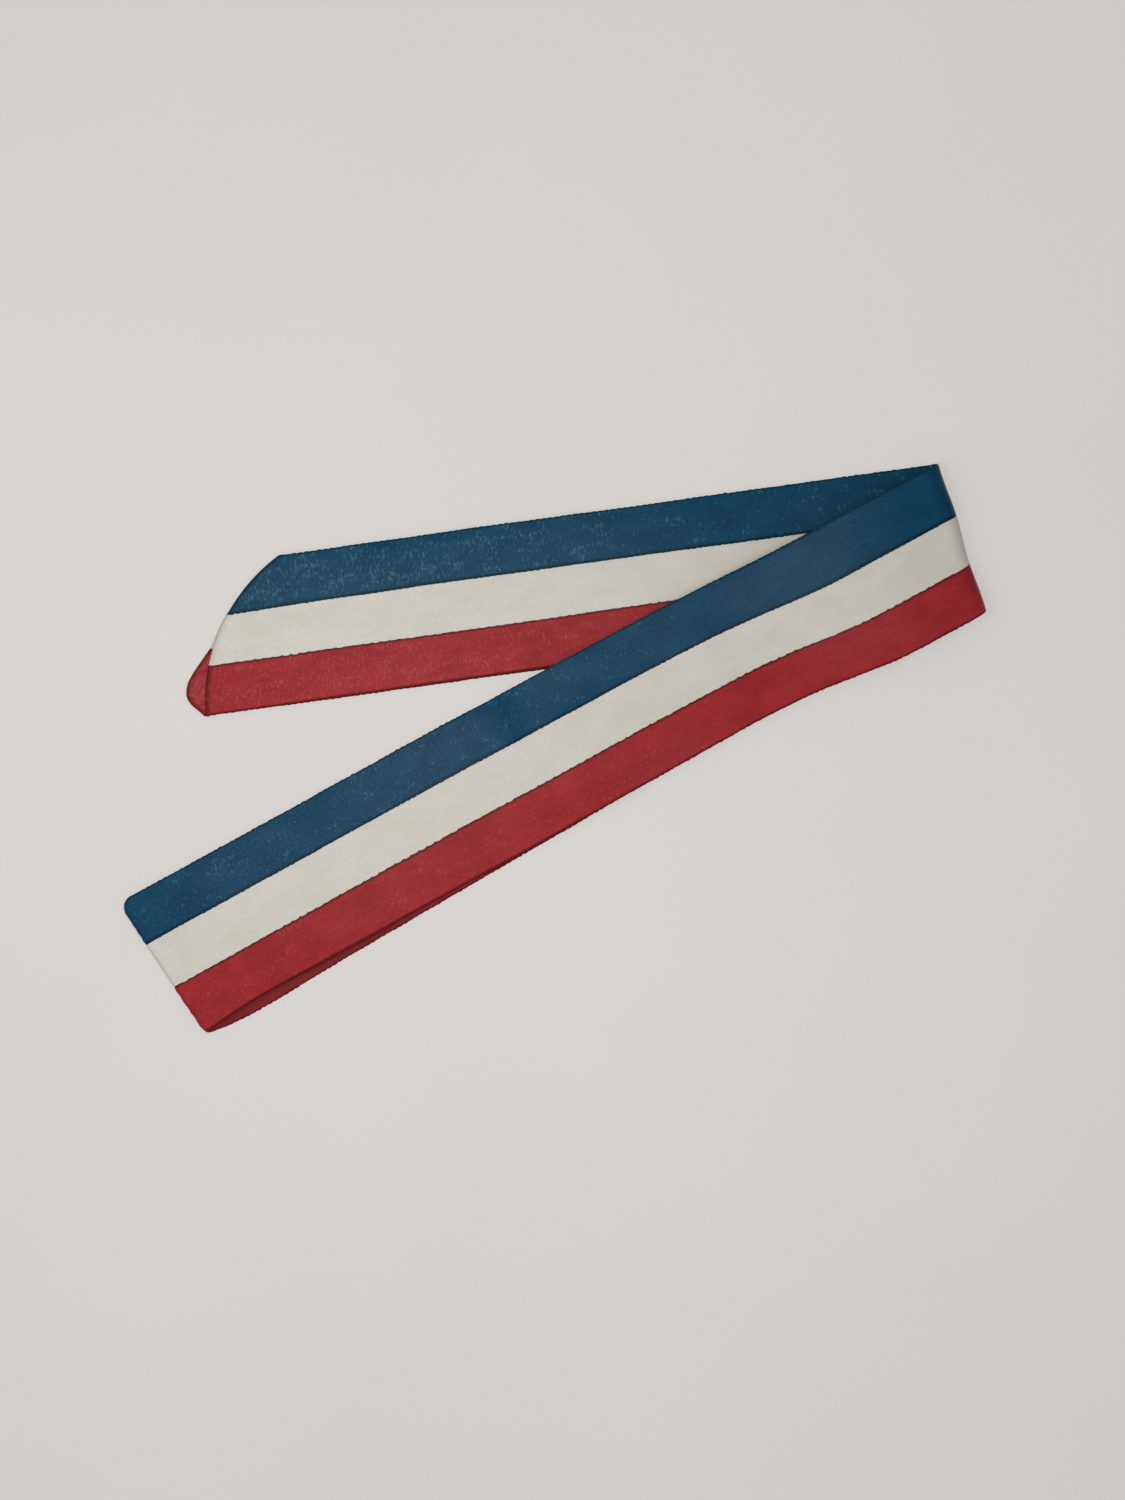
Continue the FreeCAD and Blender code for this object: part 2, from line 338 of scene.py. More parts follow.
def front_underside(distance):
    """The lower front layer's underside: from the fold, along the rear leg, down to the table."""

    def settle(t):
        t = np.clip(t, 0, 1)
        return np.where(t < 0.5, 2 * t * t, 1 - 2 * (1 - t) ** 2)

    first = settle((distance - FIRST_DROP_START) / FIRST_DROP_RUN)
    second = settle((distance - SECOND_DROP_START) / SECOND_DROP_RUN)
    on_rear = FRONT_FOLD_HEIGHT - (FRONT_FOLD_HEIGHT - ON_REAR_HEIGHT) * first
    return on_rear - ON_REAR_HEIGHT * second


def front_sag(distance, place):
    """The red side hangs lower where the rear leg isn't under it."""
    supported_to = HALF_WIDTH - distance * math.tan(math.radians(2 * HALF_FOLD_ANGLE))
    loose = smooth_step(2.0, 26.0, place - supported_to)
    started = smooth_step(30.0, 62.0, distance)
    landed = 1 - smooth_step(SECOND_DROP_START - 4, SECOND_DROP_START + SECOND_DROP_RUN, distance)
    return FRONT_SAG * loose * started * landed


def edge_turn(place):
    """How far the last millimetre or so at each selvedge turns down."""
    edge = HALF_WIDTH - np.minimum(np.abs(place), HALF_WIDTH)
    return 0.12 * np.exp(-edge)


def crown(place):
    """Slightly arched across, with edges that turn down."""
    return 0.12 * (1 - (place / HALF_WIDTH) ** 2) - edge_turn(place)


def front_upper_height(distance, place):
    free = smooth_step(8, 34, distance) * (1 - smooth_step(200, 222, distance))
    wave = 0.16 * np.sin(distance / 15.0 + place / 11.0)
    wave = wave + 0.13 * np.sin(distance / 8.7 - place / 16.0 + 1.3)
    base = front_underside(distance) + THICKNESS / 2 + LAYER_PITCH
    return base - front_sag(distance, place) + free * (wave + crown(place))


def front_lower_height(distance, place):
    free = smooth_step(10, 40, distance) * (1 - smooth_step(205, 222, distance))
    on_table = smooth_step(SECOND_DROP_START + SECOND_DROP_RUN, 150, distance)
    wave = 0.07 * np.sin(distance / 12.0 + place / 9.0)
    lift = on_table * 0.22 * (1 + np.sin(distance / 19.0 + place / 14.0)) / 2
    base = front_underside(distance) + THICKNESS / 2
    return base - front_sag(distance, place) + free * (wave * (1 - on_table) + lift)


def rear_upper_height(distance, place):
    free = smooth_step(6, 40, distance) * (1 - smooth_step(140, 170, distance))
    wave = 0.16 * (1 + np.sin(distance / 13.0 + place / 17.0))
    wave = wave + 0.05 * np.sin(distance / 6.1 - place / 10)
    return REAR_UPPER - free * (wave + edge_turn(place))


def rear_lower_height(distance, place):
    free = smooth_step(8, 40, distance) * (1 - smooth_step(140, 168, distance))
    lift = 0.11 * (1 + np.sin(distance / 21.0 + 2.0)) * (place / HALF_WIDTH) ** 2
    return REAR_LOWER + free * lift


# --- The tape's stretches, each as rows of points and their run, the distance along the tape ---

FOLD_ARC = math.pi * (INNER_FOLD_RADIUS + LAYER_PITCH + THICKNESS / 2)
INNER_ARC = math.pi * (INNER_FOLD_RADIUS + THICKNESS / 2)
END_ARC = math.pi * LAYER_PITCH / 2
# The rear leg's two layers lie at runs of -distance (lower) and UPPER_RUN + distance (upper).
UPPER_RUN = 600.0
# Painted highlight: more light weft flecks on the upper rear layer towards the seam, and on the
# turned end of the lower one. Painted shade: fewer flecks on the upper front layer by the fold.
REAR_PAINTED_HIGHLIGHT = (UPPER_RUN + 60.0, UPPER_RUN + 130.0)
FOLD_PAINTED_SHADE = (FOLD_ARC + 35.0, FOLD_ARC + 110.0)
LOBE_PAINTED_HIGHLIGHT = (-REAR_RED_EDGE - 1.0, -REAR_RED_EDGE + 3.0)
# The stretch of the lower front layer whose red edge shows beside the end bend, painted darker
# as painted shade from the layer above.
UNDER_SHADE_RUN = (FOLD_ARC + FRONT_LAYER_LENGTH + 1.0, 280.0, 360.0)
# How far the white-red line of the lower rear layer leans towards white at the seam.
LINE_LEAN = 4.4
# Where a column ends depends on its place across there, and the other way round. This many
# rounds settle it.
SETTLING_ROUNDS = 6


def rows_for(length):
    """Even shares from 0 to 1, as a column, for a stretch of this length."""
    return np.linspace(0, 1, int(round(length / ROW_STEP)) + 1)[:, None]


def rear_place(distance, run, lower):
    """The place across of every column. The lower layer's white-red line leans near its end."""
    place = across_tape(rear_lines, distance, run)
    if lower:
        place = place + rear_lower_shift(distance)
        near_end = smooth_step(-9.0, -1.0, distance - seam_reach(place))
        by_line = np.exp(-(((ACROSS - BAND / 2) / 4.0) ** 2))
        place = place - LINE_LEAN * near_end * by_line
    return place


def rear_ends(lower):
    """Where each column meets the crease, and where it ends at the seam."""
    shape = (1, len(ACROSS))
    at_crease = across_tape(rear_lines, np.zeros(shape), np.full(shape, 3.0))[0]
    end = np.full(shape, REAR_RED_EDGE)
    reach = lower_reach if lower else seam_reach
    for _ in range(SETTLING_ROUNDS):
        end = reach(rear_place(end, end, lower))
    return -LEAN * at_crease, end[0]


def rear_stretch(lower):
    """A rear layer from the start of its turned end to the crease."""
    at_crease, at_end = rear_ends(lower)
    t = rows_for(REAR_BLUE_EDGE)
    distance = (at_end - TURNED_RUN) + (at_crease - at_end + TURNED_RUN) * t
    run = -distance if lower else UPPER_RUN + distance
    place = rear_place(distance, run, lower)
    height = (rear_lower_height if lower else rear_upper_height)(distance, place)
    return leg_points(REAR_HEADING, distance, place, height), run


def turned_end(lower):
    """From the layer's end edge, turned over and back inside to the raw cut edge."""
    _, at_end = rear_ends(lower)
    if lower:
        layer, flap, puff, reach = REAR_LOWER, FLAP_LOWER, LOBE_PUFF, SEAM_LOBE
    else:
        layer, flap, puff, reach = REAR_UPPER, FLAP_UPPER, 0.0, 0.0
    start = (at_end - TURNED_RUN)[None, :]
    size = lobe(rear_place(at_end[None, :], -at_end[None, :], lower))
    bend = np.abs(flap - layer) / 2 + puff * size / 2
    flat_run = np.linspace(0, 1, FLAT_ROWS + 1)[:-1, None] * (TURNED_RUN - bend)
    angles = np.linspace(0, math.pi, TURN_ROWS)[:, None]
    back = np.linspace(0, 1, BACK_ROWS + 1)[1:, None] * (SEAM_ALLOWANCE + reach * size)
    side = np.sign(flap - layer)
    distance = np.concatenate(
        [start + flat_run, at_end - bend + bend * np.sin(angles), at_end - bend - back]
    )
    settle = np.exp(-back / PUFF_SETTLES)
    height = np.concatenate(
        [
            np.full_like(flat_run, layer),
            layer + side * bend * (1 - np.cos(angles)),
            flap + side * (2 * bend - np.abs(flap - layer)) * settle,
        ]
    )
    run = np.concatenate(
        [start + flat_run, at_end - bend + bend * angles, at_end + 2 * bend + back]
    )
    run = -run if lower else UPPER_RUN + run
    place = rear_place(np.minimum(distance, at_end), run, lower)
    tucked = smooth_step(0.5, 3.0, back - reach * size)
    inset = np.concatenate([np.zeros((FLAT_ROWS + TURN_ROWS, len(ACROSS))), tucked])
    place = place * (1 - inset * SEAM_SIDE_INSET / HALF_WIDTH)
    return leg_points(REAR_HEADING, distance, place, height), run


def end_reach(place):
    """The front leg's end: slanted, with softly rounded corners."""
    blue_corner = 1.5 * np.clip((-place - HALF_WIDTH + 2.6) / 2.6, 0, 1.25) ** 2.2
    red_corner = 1.0 * np.clip((place - HALF_WIDTH + 1.2) / 2.0, 0, 1.2) ** 2
    uneven = 0.10 * np.sin(place * 2.9) + 0.07 * np.sin(place * 5.3 + 1.0)
    return FRONT_LAYER_LENGTH - SLANT * place - blue_corner - red_corner + uneven


def front_ends():
    """Where each column meets the crease, and where it ends at the hairpin bend."""
    shape = (1, len(ACROSS))
    at_crease = across_tape(front_lines, np.zeros(shape), np.full(shape, FOLD_ARC + 3.0))[0]
    end = np.full(shape, FRONT_LAYER_LENGTH)
    for _ in range(SETTLING_ROUNDS):
        end = end_reach(across_tape(front_lines, end, end))
    return LEAN * at_crease, end[0]


def front_stretch(lower):
    """A front layer from the crease to the end bend, or back."""
    at_crease, at_end = front_ends()
    t = rows_for(FRONT_LAYER_LENGTH)
    if lower:
        t = 1 - t
    distance = at_crease + (at_end - at_crease) * t
    if lower:
        run = FOLD_ARC + at_end + END_ARC + (at_end - distance)
        place = across_tape(front_lines, distance, run) + front_lower_shift(distance)
        height = front_lower_height(distance, place)
    else:
        run = FOLD_ARC + distance
        place = across_tape(front_lines, distance, run)
        height = front_upper_height(distance, place)
    return leg_points(FRONT_HEADING, distance, place, height), run


def end_stretch(upper_points, lower_points):
    """The hairpin bend from the upper front layer's last row to the lower one's first."""
    along, _ = leg_axes(FRONT_HEADING)
    _, at_end = front_ends()
    angles = np.linspace(0, math.pi, END_ROWS + 1)[1:-1, None, None]
    top, bottom = upper_points[-1], lower_points[0]
    radius = (top[:, 2] - bottom[:, 2]) / 2
    share = angles / math.pi
    points = top * (1 - share) + bottom * share
    middle = (top[:, 2] + bottom[:, 2]) / 2
    points[..., 2] = middle + radius * np.cos(angles[..., 0])
    points = points + (radius * np.sin(angles[..., 0]))[..., None] * along
    run = FOLD_ARC + at_end + END_ARC * angles[..., 0] / math.pi
    return points, run


def bend_shape():
    """A half turn of unit size, squarer than a circle, with evenly spaced rows."""
    angles = np.linspace(-math.pi / 2, math.pi / 2, 800)
    power = 2 / FOLD_SQUARENESS
    reach = np.clip(np.cos(angles), 0, 1) ** power
    rise = np.sign(angles) * np.abs(np.sin(angles)) ** power
    steps = np.hypot(np.diff(reach), np.diff(rise))
    gone = np.concatenate([[0], np.cumsum(steps)]) / steps.sum()
    even = np.linspace(0, 1, FOLD_ROWS + 1)[1:-1]
    return np.interp(even, gone, reach), np.interp(even, gone, rise), even


def fold_stretch(first, last, radius, run_start, run_end):
    """The half turn between two rows of points, winding along the crease as it goes."""
    reach, rise, even = bend_shape()
    share = even[:, None, None]
    points = first * (1 - share) + last * share
    middle = (first[:, 2] + last[:, 2]) / 2
    half = (last[:, 2] - first[:, 2]) / 2
    points[..., 2] = middle + half * rise[:, None]
    along_crease = (points - hinge) @ crease
    within = 1 - np.clip(along_crease / CREASE_HALF, -1, 1) ** 2
    wander = CREASE_WANDER * np.sin(along_crease / CREASE_WAVE) * within
    points = points + (reach[:, None] * (radius + wander))[..., None] * outward
    return points, run_start + (run_end - run_start) * even[:, None]


def whole_tape():
    """The tape's stretches in order, from one cut end to the other."""
    rear_lower, rear_lower_run = rear_stretch(lower=True)
    rear_upper, rear_upper_run = rear_stretch(lower=False)
    rear_upper, rear_upper_run = rear_upper[::-1], rear_upper_run[::-1]
    low_turn, low_run = turned_end(lower=True)
    high_turn, high_run = turned_end(lower=False)
    front_upper, front_upper_run = front_stretch(lower=False)
    front_lower, front_lower_run = front_stretch(lower=True)
    end_points, end_run = end_stretch(front_upper, front_lower)
    outer, outer_run = fold_stretch(
        rear_lower[-1], front_upper[0], INNER_FOLD_RADIUS + LAYER_PITCH + THICKNESS / 2,
        rear_lower_run[-1], front_upper_run[0],
    )
    inner, inner_run = fold_stretch(
        rear_upper[0], front_lower[-1], INNER_FOLD_RADIUS + THICKNESS / 2,
        rear_upper_run[0], rear_upper_run[0] - INNER_ARC,
    )
    return [
        ("turned_lower", low_turn[::-1], low_run[::-1]),
        ("rear_lower", rear_lower, rear_lower_run),
        ("fold_outer", outer, outer_run),
        ("front_upper", front_upper, front_upper_run),
        ("end", end_points, end_run),
        ("front_lower", front_lower, front_lower_run),
        ("fold_inner", inner[::-1], inner_run[::-1]),
        ("rear_upper", rear_upper, rear_upper_run),
        ("turned_upper", high_turn, high_run),
    ]


def joined(stretches):
    """One grid of points, runs and normals for the whole tape, and each stretch's range of rows."""
    points, runs, ranges, at = [], [], {}, 0
    for name, rows, run in stretches:
        if points and np.abs(rows[0] - points[-1][-1]).max() < 1e-3:
            rows, run = rows[1:], run[1:]
        points.append(rows)
        runs.append(run)
        ranges[name] = (at, at + len(rows) - 1)
        at += len(rows)
    points, runs = np.concatenate(points), np.concatenate(runs)
    down_tape = np.gradient(points, axis=0)
    over_tape = np.gradient(points, axis=1)
    normals = np.cross(down_tape, over_tape)
    normals /= np.linalg.norm(normals, axis=2, keepdims=True)
    return points, runs, normals, ranges


# --- Meshes ---


def closed_sheet(points, normals, runs, columns):
    """Vertices, quads and (run, across) of one stretch of tape with its thickness."""
    grid, facing = points[:, columns], normals[:, columns]
    half = (THICKNESS / 2) * EDGE_THINNING[columns][None, :, None]
    rows, wide = grid.shape[:2]
    count = rows * wide
    sides = [grid + facing * half, grid - facing * half]
    vertices = np.concatenate([side.reshape(-1, 3) for side in sides])
    top = np.arange(count).reshape(rows, wide)
    bottom = top + count

    def quads(a, b, c, d):
        return np.stack([a.ravel(), b.ravel(), c.ravel(), d.ravel()], axis=1)

    faces = np.concatenate(
        [
            quads(top[:-1, :-1], top[1:, :-1], top[1:, 1:], top[:-1, 1:]),
            quads(bottom[:-1, :-1], bottom[:-1, 1:], bottom[1:, 1:], bottom[1:, :-1]),
            quads(top[:-1, 0], bottom[:-1, 0], bottom[1:, 0], top[1:, 0]),
            quads(top[:-1, -1], top[1:, -1], bottom[1:, -1], bottom[:-1, -1]),
            quads(top[0, :-1], top[0, 1:], bottom[0, 1:], bottom[0, :-1]),
            quads(top[-1, :-1], bottom[-1, :-1], bottom[-1, 1:], top[-1, 1:]),
        ]
    )
    weave = np.stack([runs[:, columns], np.broadcast_to(ACROSS[columns], (rows, wide))], axis=2)
    weave = np.concatenate([weave.reshape(-1, 2)] * 2)
    return vertices, faces, weave


def make_mesh(name, vertices, faces, weave):
    """An object from quads, with each corner's place in the weave, in millimetres, as its UV."""
    mesh = bpy.data.meshes.new(name)
    mesh.vertices.add(len(vertices))
    mesh.vertices.foreach_set("co", (vertices * MM).astype(np.float32).ravel())
    mesh.loops.add(faces.size)
    mesh.loops.foreach_set("vertex_index", faces.astype(np.int32).ravel())
    mesh.polygons.add(len(faces))
    mesh.polygons.foreach_set("loop_start", np.arange(0, faces.size, 4, dtype=np.int32))
    mesh.update(calc_edges=True)
    layer = mesh.uv_layers.new(name="weave")
    layer.data.foreach_set("uv", weave[faces.ravel()].astype(np.float32).ravel())
    mesh.polygons.foreach_set("use_smooth", np.ones(len(faces), bool))
    mesh.set_sharp_from_angle(angle=math.radians(62))
    mesh.validate()
    piece = bpy.data.objects.new(name, mesh)
    bpy.context.scene.collection.objects.link(piece)
    return piece


def tape_piece(name, tape, spans, columns, material):
    """One piece of tape in one or more closed stretches; spans are (first row, last row)."""
    points, runs, normals, _ = tape
    parts, shift = [], 0
    for first, last in spans:
        rows = slice(first, last + 1)
        vertices, faces, weave = closed_sheet(points[rows], normals[rows], runs[rows], columns)
        parts.append((vertices, faces + shift, weave))
        shift += len(vertices)
    piece = make_mesh(name, *(np.concatenate(each) for each in zip(*parts)))
    piece.data.materials.append(material)
    return piece


# --- Materials ---

# The weave's ribs across the tape and its warp threads along it, in millimetres.
RIB_PITCH = 0.62
WARP_PITCH = 0.40


class Nodes:
    """Short names for the few nodes the materials are made of."""

    def __init__(self, name):
        self.material = bpy.data.materials.new(name)
        self.material.use_nodes = True
        self.tree = self.material.node_tree
        self.shader = self.tree.nodes["Principled BSDF"]

    def node(self, kind, **settings):
        made = self.tree.nodes.new(kind)
        for setting, value in settings.items():
            setattr(made, setting, value)
        return made

    def join(self, output, target):
        self.tree.links.new(output, target)

    def fill(self, target, value):
        if isinstance(value, bpy.types.NodeSocket):
            self.join(value, target)
        else:
            target.default_value = value

    def math(self, operation, first, second=0.0):
        made = self.node("ShaderNodeMath", operation=operation)
        self.fill(made.inputs[0], first)
        self.fill(made.inputs[1], second)
        return made.outputs[0]

    def total(self, first, *others):
        for other in others:
            first = self.math("ADD", first, other)
        return first

    def noise(self, where, scale, detail=2.0, roughness=0.5):
        made = self.node("ShaderNodeTexNoise")
        self.join(where, made.inputs["Vector"])
        made.inputs["Scale"].default_value = scale
        made.inputs["Detail"].default_value = detail
        made.inputs["Roughness"].default_value = roughness
        return made.outputs["Fac"]

    def between(self, value, low, high, low_out=0.0, high_out=1.0):
        """A soft step: low_out up to low, high_out from high on."""
        made = self.node("ShaderNodeMapRange", interpolation_type="SMOOTHSTEP")
        self.fill(made.inputs["Value"], value)
        made.inputs["From Min"].default_value = low
        made.inputs["From Max"].default_value = high
        made.inputs["To Min"].default_value = low_out
        made.inputs["To Max"].default_value = high_out
        return made.outputs[0]

    def mix(self, share, first, second):
        """A blend of two colours. Sockets 6 and 7, and output 2, are the node's colour ones."""
        made = self.node("ShaderNodeMix", data_type="RGBA")
        self.fill(made.inputs["Factor"], share)
        self.fill(made.inputs[6], first)
        self.fill(made.inputs[7], second)
        return made.outputs[2]

    def stretched(self, where, x, y):
        made = self.node("ShaderNodeVectorMath", operation="MULTIPLY")
        self.join(where, made.inputs[0])
        made.inputs[1].default_value = (x, y, 1.0)
        return made.outputs[0]

    def bump(self, relief, strength, distance):
        made = self.node("ShaderNodeBump")
        made.inputs["Strength"].default_value = strength
        made.inputs["Distance"].default_value = distance
        self.join(relief, made.inputs["Height"])
        self.join(made.outputs["Normal"], self.shader.inputs["Normal"])


def rgb(red, green, blue):
    return (red, green, blue, 1.0)


def tape_material(name, base, shade, fleck, fleck_share, line_places, gloss, rim_shade_depth):
    """Warp-faced ribbon: fine ribs across, warp threads along, flecks of weft and soft mottling.

    line_places are (place across, half width, depth) of each darker line.
    """
    n = Nodes(name)
    weave = n.node("ShaderNodeUVMap", uv_map="weave").outputs["UV"]
    parts = n.node("ShaderNodeSeparateXYZ")
    n.join(weave, parts.inputs[0])
    run = parts.outputs["X"]
    across = parts.outputs["Y"]

    # Colour: mottling over centimetres, streaks along the warp, flecks across it. The share of
    # flecks also carries painted highlight and painted shade.
    cloudy = n.noise(n.stretched(weave, 0.10, 0.16), 1.0, 3.0, 0.6)
    grainy = n.noise(n.stretched(weave, 1.3, 0.9), 1.0, 2.0, 0.6)
    streaks = n.noise(n.stretched(weave, 0.10, 3.4), 1.0, 2.0, 0.6)
    specks = n.noise(n.stretched(weave, 1.6, 0.80), 1.0, 2.5, 0.65)
    patches = n.noise(n.stretched(weave, 0.17, 0.24), 1.0, 2.5, 0.65)
    tone = n.total(
        n.math("MULTIPLY", cloudy, 0.45),
        n.math("MULTIPLY", grainy, 0.25),
        n.math("MULTIPLY", streaks, 0.30),
    )
    colour = n.mix(n.between(tone, 0.36, 0.64), rgb(*shade), rgb(*base))
    # Painted light: more flecks as painted highlight on the rear leg and the lobe, fewer as painted
    # shade by the fold.
    painted_light = n.total(
        n.between(run, *REAR_PAINTED_HIGHLIGHT, 0.0, 0.06),
        n.between(run, *LOBE_PAINTED_HIGHLIGHT, 0.20, 0.0),
        n.between(run, *FOLD_PAINTED_SHADE, -0.09, 0.0),
    )
    mixed = n.total(specks, painted_light, n.math("MULTIPLY", patches, 0.5))
    fleck_here = n.between(mixed, 0.82, 1.0, 0.0, fleck_share)
    colour = n.mix(fleck_here, colour, rgb(*fleck))

    # Threads pack tighter and look darker where two colours meet and at the selvedges. The lines at
    # the outer selvedges are partly that and partly painted shade, the shade of the edge turning
    # down and of its contact with what lies below.
    dark = None
    for place, width, depth in line_places:
        gap = n.math("ABSOLUTE", n.math("SUBTRACT", across, place))
        band = n.between(gap, width * 0.35, width, depth, 0.0)
        dark = band if dark is None else n.math("MAXIMUM", dark, band)
    # Painted shade on the lower front layer's red edge beside the end bend, under the layer above.
    starts = n.between(run, UNDER_SHADE_RUN[0], UNDER_SHADE_RUN[0] + 5)
    fades = n.between(run, UNDER_SHADE_RUN[1], UNDER_SHADE_RUN[2], 1.0, 0.0)
    beside_edge = n.between(across, HALF_WIDTH - 4.5, HALF_WIDTH - 2.0)
    under = n.math("MULTIPLY", n.math("MULTIPLY", starts, fades), beside_edge)
    dark = n.math("MAXIMUM", dark, n.math("MULTIPLY", under, 0.55))
    # Painted shade along the seam's turned edge, read from the rim attribute.
    rim_shade_here = n.math("SQRT", n.node("ShaderNodeAttribute", attribute_name="rim").outputs["Fac"])
    dark = n.math("MAXIMUM", dark, n.math("MULTIPLY", rim_shade_here, rim_shade_depth))
    dark = n.math("MULTIPLY", dark, n.between(grainy, 0.25, 0.6, 0.65, 1.0))
    colour = n.mix(dark, colour, rgb(*(0.33 * value for value in shade)))
    n.join(colour, n.shader.inputs["Base Color"])

    # Relief: ribs over each weft, warp threads over the ribs, and a little unevenness.
    wobble = n.math("MULTIPLY", n.noise(n.stretched(weave, 0.5, 1.2), 1.0, 1.0), 0.9)
    ribs = n.math("SINE", n.math("ADD", n.math("MULTIPLY", run, math.tau / RIB_PITCH), wobble))
    warps = n.math("SINE", n.math("MULTIPLY", across, math.tau / WARP_PITCH))
    relief = n.total(
        n.math("MULTIPLY", ribs, 0.5),
        n.math("MULTIPLY", n.math("MULTIPLY", ribs, warps), 0.3),
        n.math("MULTIPLY", grainy, 1.2),
        n.math("MULTIPLY", specks, 0.8),
    )
    n.bump(relief, 0.35, 0.00004)

    n.join(n.between(grainy, 0.3, 0.7, 0.31, 0.27), n.shader.inputs["Roughness"])
    n.shader.inputs["Specular IOR Level"].default_value = gloss
    n.shader.inputs["Sheen Weight"].default_value = 0.02
    n.shader.inputs["Sheen Roughness"].default_value = 0.5
    n.shader.inputs["Sheen Tint"].default_value = rgb(0.9, 0.92, 0.95)
    return n.material


def thread_material():
    """Undyed thread with diagonal plies."""
    n = Nodes("sewing_thread")
    where = n.node("ShaderNodeTexCoord").outputs["Object"]
    plies = n.node("ShaderNodeTexWave", bands_direction="DIAGONAL")
    n.join(where, plies.inputs["Vector"])
    plies.inputs["Scale"].default_value = 2600.0
    plies.inputs["Distortion"].default_value = 1.0
    colour = n.mix(plies.outputs["Fac"], rgb(0.50, 0.47, 0.42), rgb(0.66, 0.63, 0.58))
    n.join(colour, n.shader.inputs["Base Color"])
    n.bump(plies.outputs["Fac"], 1.0, 0.00003)
    n.shader.inputs["Roughness"].default_value = 0.55
    n.shader.inputs["Sheen Weight"].default_value = 0.2
    return n.material


def floor_material():
    """Pale paper that is mostly lit from within, so that the ribbon casts only a faint shadow."""
    n = Nodes("pale_paper")
    where = n.node("ShaderNodeTexCoord").outputs["Object"]
    fibres = n.noise(where, 900.0, 3.0, 0.6)
    clouds = n.noise(where, 6.0, 3.0, 0.6)
    tone = n.math("ADD", n.math("MULTIPLY", fibres, 0.4), n.math("MULTIPLY", clouds, 0.6))
    colour = n.mix(n.between(tone, 0.3, 0.7), rgb(0.672, 0.645, 0.623), rgb(0.694, 0.667, 0.645))
    n.join(n.mix(0.75, colour, rgb(0, 0, 0)), n.shader.inputs["Base Color"])
    n.join(colour, n.shader.inputs["Emission Color"])
    n.shader.inputs["Emission Strength"].default_value = 0.75
    n.shader.inputs["Roughness"].default_value = 0.9
    n.shader.inputs["Specular IOR Level"].default_value = 0.05
    n.bump(fibres, 0.1, 0.00005)
    return n.material


# --- Threads of the seam ---

# A thread under tension is a little thinner than its nominal size.
THREAD_RADIUS = THREAD_THICKNESS / 2 * 0.9
# Rows of points in each stitch, and how much a stitch bows between its holes.
STITCH_ROWS = 14
STITCH_BOW = 0.02


def thread_path(surface, meeting, bow):
    """A lockstitch thread: a slightly bowed stitch between holes, and a dip into every hole."""
    centre_x, centre_y, radius = seam_circle()
    side = HALF_WIDTH - SEAM_SIDE_INSET
    first = math.asin((-side - centre_y) / radius)
    last = math.asin((side - centre_y) / radius)
    count = math.floor((last - first) * radius / STITCH_PITCH)
    t = np.linspace(0, count, count * STITCH_ROWS + 1)
    turns = first + (last - first) * t / count
    distance = centre_x + radius * np.cos(turns) - STITCH_INSET
    place = centre_y + radius * np.sin(turns)
    in_stitch = np.abs((t + 0.5) % 1 - 0.5) * 2
    dip = 1 - smooth_step(0.0, 0.16, in_stitch)
    height = surface + (meeting - surface) * dip + bow * in_stitch
    return leg_points(REAR_HEADING, distance, place, height)


def thread_piece(name, path, radius, material):
    """An eight-sided thread along a path, closed at both ends."""
    sides = 8
    ahead = np.gradient(path, axis=0)
    ahead /= np.linalg.norm(ahead, axis=1, keepdims=True)
    flat = np.cross(ahead, [0.0, 0.0, 1.0])
    flat /= np.linalg.norm(flat, axis=1, keepdims=True)
    up = np.cross(flat, ahead)
    angles = np.arange(sides) * math.tau / sides
    ring = flat[:, None] * np.cos(angles)[:, None] + up[:, None] * np.sin(angles)[:, None]
    rings = (path[:, None] + radius * ring).reshape(-1, 3)
    index = np.arange(len(rings)).reshape(len(path), sides)
    after = np.roll(index, -1, axis=1)
    faces = np.stack([index[:-1], after[:-1], after[1:], index[1:]], axis=2).reshape(-1, 4)
    start, stop = index[0], index[-1]
    caps = [start[[0, 7, 6, 1]], start[[1, 6, 5, 2]], start[[2, 5, 4, 3]]]
    caps += [stop[[0, 1, 6, 7]], stop[[1, 2, 5, 6]], stop[[2, 3, 4, 5]]]
    piece = make_mesh(name, rings, np.concatenate([faces, np.array(caps)]), rings[:, :2])
    piece.data.materials.append(material)
    return piece


# --- Camera, light and floor, in metres apart from the lens and the sensor ---


CAMERA_LENS = 150.0
SENSOR_HEIGHT = 36.0
# What the photograph's height spans at the table, in metres, and how far its middle is from the
# ribbon's middle.
FRAME_HEIGHT = 0.381
FRAME_OFFSET = (0.0025, -0.0004)
# Each light's name, place, size, power, colour, and whether the cloth's gloss shows it.
LIGHTS = [
    ("overhead", (-0.086, 0.010, 0.27), 0.30, 0.425, (1.0, 0.99, 0.98), False),
    ("gleam", (-0.038, 0.010, 0.42), 0.07, 0.38, (1.0, 0.99, 0.985), True),
]
ROOM_COLOUR = (1.0, 0.985, 0.965)
ROOM_STRENGTH = 0.385
# The floor reaches far past the view from any side, and lies just below the ribbon.
FLOOR_HALF = 8.0
FLOOR_HEIGHT = -0.00008


